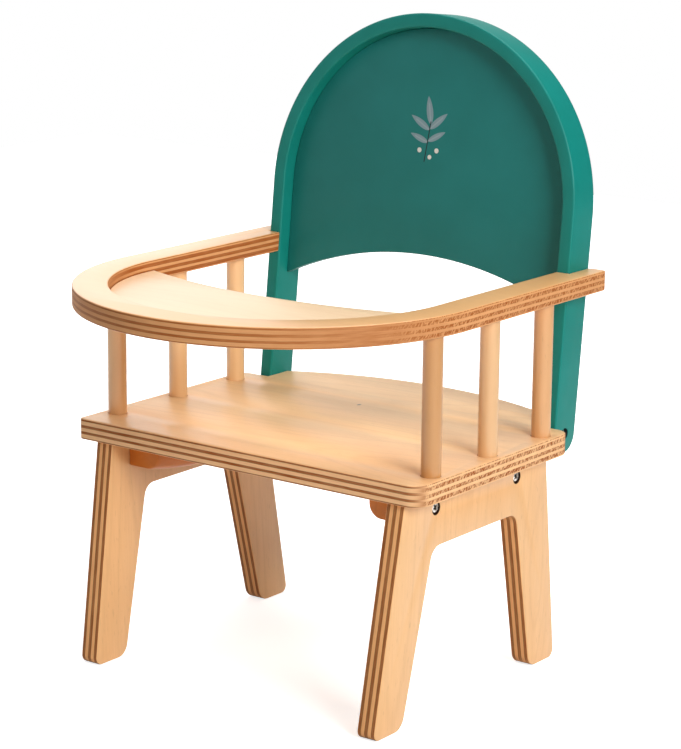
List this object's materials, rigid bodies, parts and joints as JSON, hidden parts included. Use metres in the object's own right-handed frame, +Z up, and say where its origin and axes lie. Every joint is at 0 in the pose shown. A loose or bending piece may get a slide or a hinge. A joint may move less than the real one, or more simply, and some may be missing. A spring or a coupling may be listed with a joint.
{
  "type": "doll high chair",
  "caption": "Small wooden high chair for a doll: plywood seat on arched leg frames, dowel sides, U-shaped arm ring with a tray, and a green arched backrest.",
  "frame": {"origin": "on the floor, under the middle of the whole chair's box", "axes": "+Z up, the chair faces -Y, +X is the right-hand side seen from the front"},
  "size_m": [0.185, 0.2142, 0.2845],
  "materials": {
    "plywood": "pale birch-like plywood, satin clear varnish, seven plies showing on the edges",
    "batten": "plain solid wood, satin",
    "dowel": "plain beech-like dowel, satin clear varnish",
    "green_paint": "opaque blue-green paint on wood, satin",
    "screw_steel": "bright zinc-plated steel"
  },
  "bodies": {
    "root": {"seat_board": "plywood", "left_leg_frame": "plywood", "right_leg_frame": "plywood", "arm_ring": "plywood", "tray_plate": "plywood", "left_cleat": "batten", "right_cleat": "batten", "left_front_spindle": "dowel", "left_middle_spindle": "dowel", "left_rear_spindle": "dowel", "right_front_spindle": "dowel", "right_middle_spindle": "dowel", "right_rear_spindle": "dowel", "backrest_hoop": "green_paint", "backrest_panel": "green_paint", "left_front_leg_screw": "screw_steel", "left_rear_leg_screw": "screw_steel", "left_front_seat_screw": "screw_steel", "left_rear_seat_screw": "screw_steel", "left_hoop_screw": "screw_steel", "right_front_leg_screw": "screw_steel", "right_rear_leg_screw": "screw_steel", "right_front_seat_screw": "screw_steel", "right_rear_seat_screw": "screw_steel", "right_hoop_screw": "screw_steel"}
  },
  "joints": []
}
